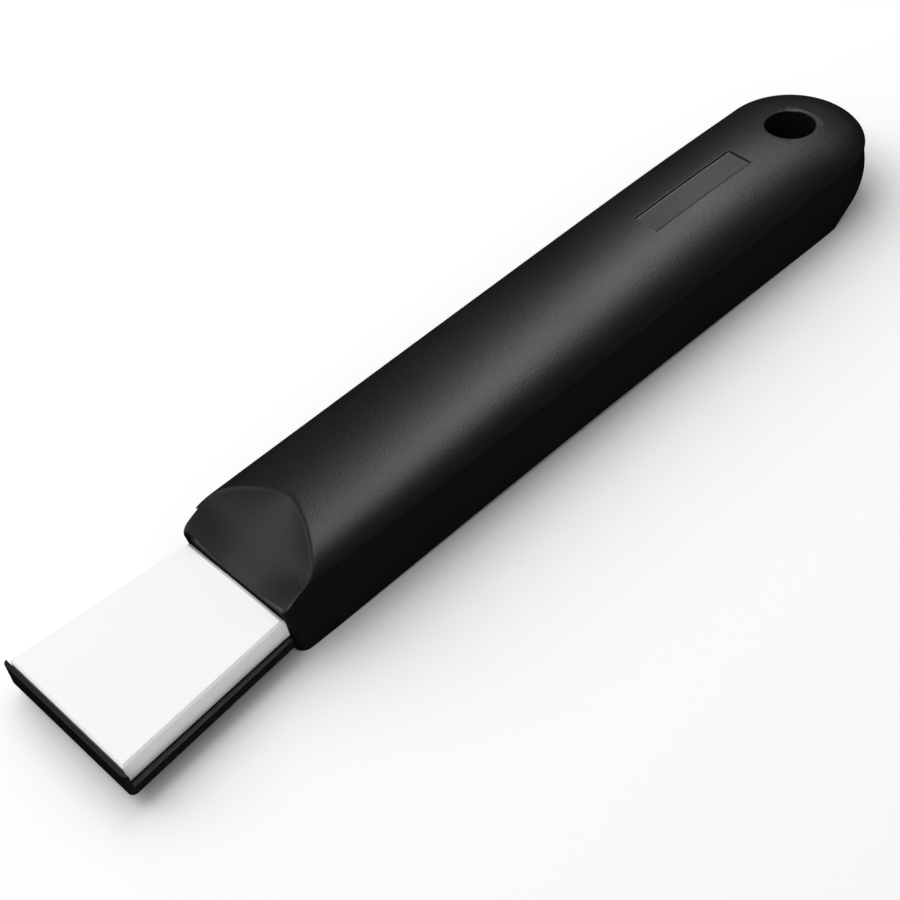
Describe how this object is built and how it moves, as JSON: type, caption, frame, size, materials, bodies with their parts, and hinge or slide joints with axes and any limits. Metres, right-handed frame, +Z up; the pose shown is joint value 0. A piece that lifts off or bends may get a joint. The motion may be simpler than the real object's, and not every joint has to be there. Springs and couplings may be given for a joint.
{
  "type": "ceramic hob scraper",
  "caption": "Hand scraper for glass-ceramic hobs: an arched black handle with a thumb scoop and hanging hole, gripping a black tray that carries a white ceramic block.",
  "frame": {"origin": "centre of the bounding box in plan, on the surface that the handle rests on", "axes": "+X along the tool from the working tip to the tail, +Z up out of the arched top, Y across"},
  "size_m": [0.1996, 0.038, 0.0187],
  "materials": {
    "handle_plastic": "fine matte moulding grain, smooth in the scoop",
    "tray_plastic": "satin moulded plastic",
    "white_ceramic": "fine ground white ceramic with bevelled edges",
    "adhesive": "dark foam adhesive pad",
    "screw_steel": "zinc-plated steel"
  },
  "bodies": {
    "root": {"handle_top_shell": "handle_plastic", "handle_bottom_shell": "handle_plastic", "head_tray": "tray_plastic", "ceramic_block": "white_ceramic", "block_adhesive_pad": "adhesive", "tongue_screws": "screw_steel", "shell_screws": "screw_steel"}
  },
  "joints": []
}
